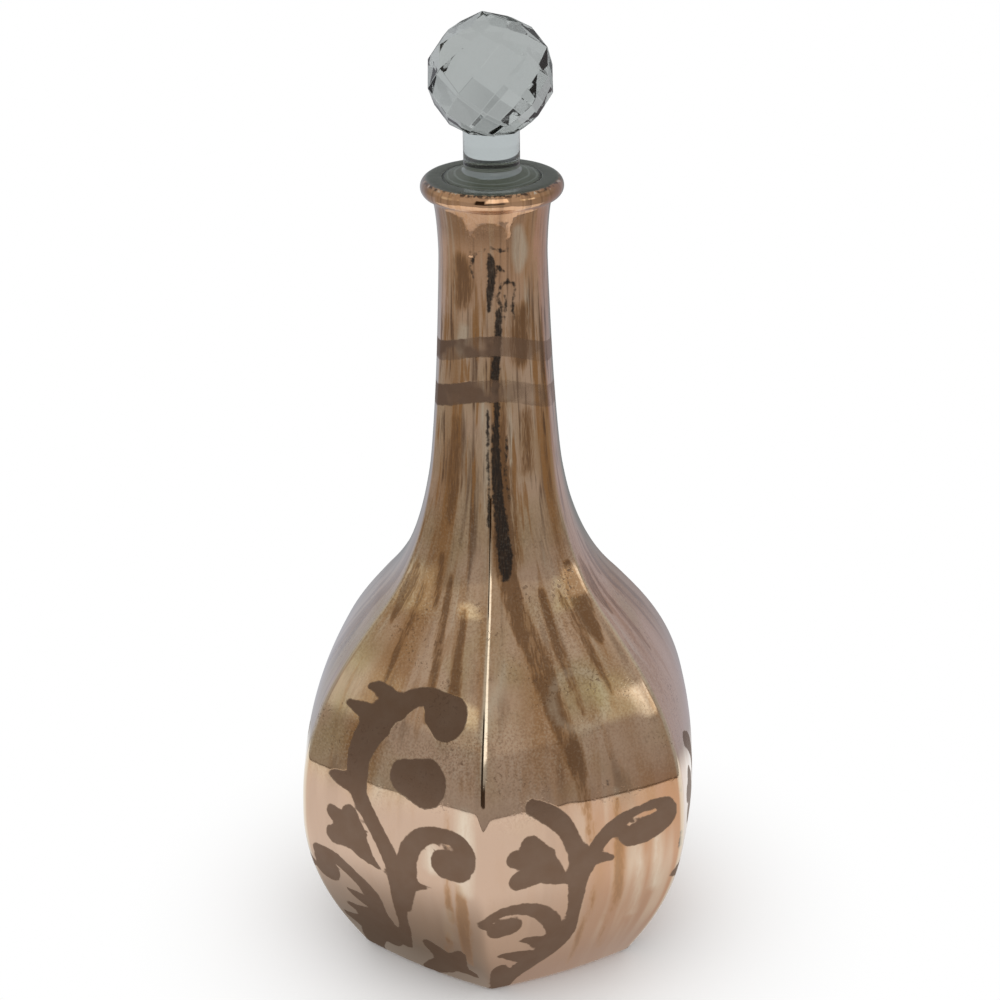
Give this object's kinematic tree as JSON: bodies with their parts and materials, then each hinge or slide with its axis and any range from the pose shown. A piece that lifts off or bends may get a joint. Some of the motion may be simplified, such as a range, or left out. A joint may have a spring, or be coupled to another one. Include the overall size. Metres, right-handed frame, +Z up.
{
  "type": "glass decanter with stopper",
  "caption": "Six-sided glass carafe with a long round-topped neck, rolled lip, ground-in stopper and faceted ball finial; copper lustre outside.",
  "frame": {"origin": "centre of the underside of the foot, on the bottle's axis", "axes": "+Z up along the bottle's axis; one panel edge of the six-sided body faces -Y"},
  "size_m": [0.1238, 0.137, 0.2975],
  "materials": {
    "lustre_glass": "opaque copper lustre over glass, polished, with a matte etched vine pattern",
    "stopper_glass": "clear pressed glass, ground on the plug's taper",
    "cut_glass": "clear cut and polished glass"
  },
  "bodies": {
    "bottle": {"bottle": "lustre_glass"},
    "stopper": {"stopper": "stopper_glass", "stopper_ball": "cut_glass"}
  },
  "joints": [
    {"name": "stopper_lift", "type": "slide", "parent": "bottle", "child": "stopper", "axis": [0, 0, 1], "range_m": [0, 0.05]}
  ]
}
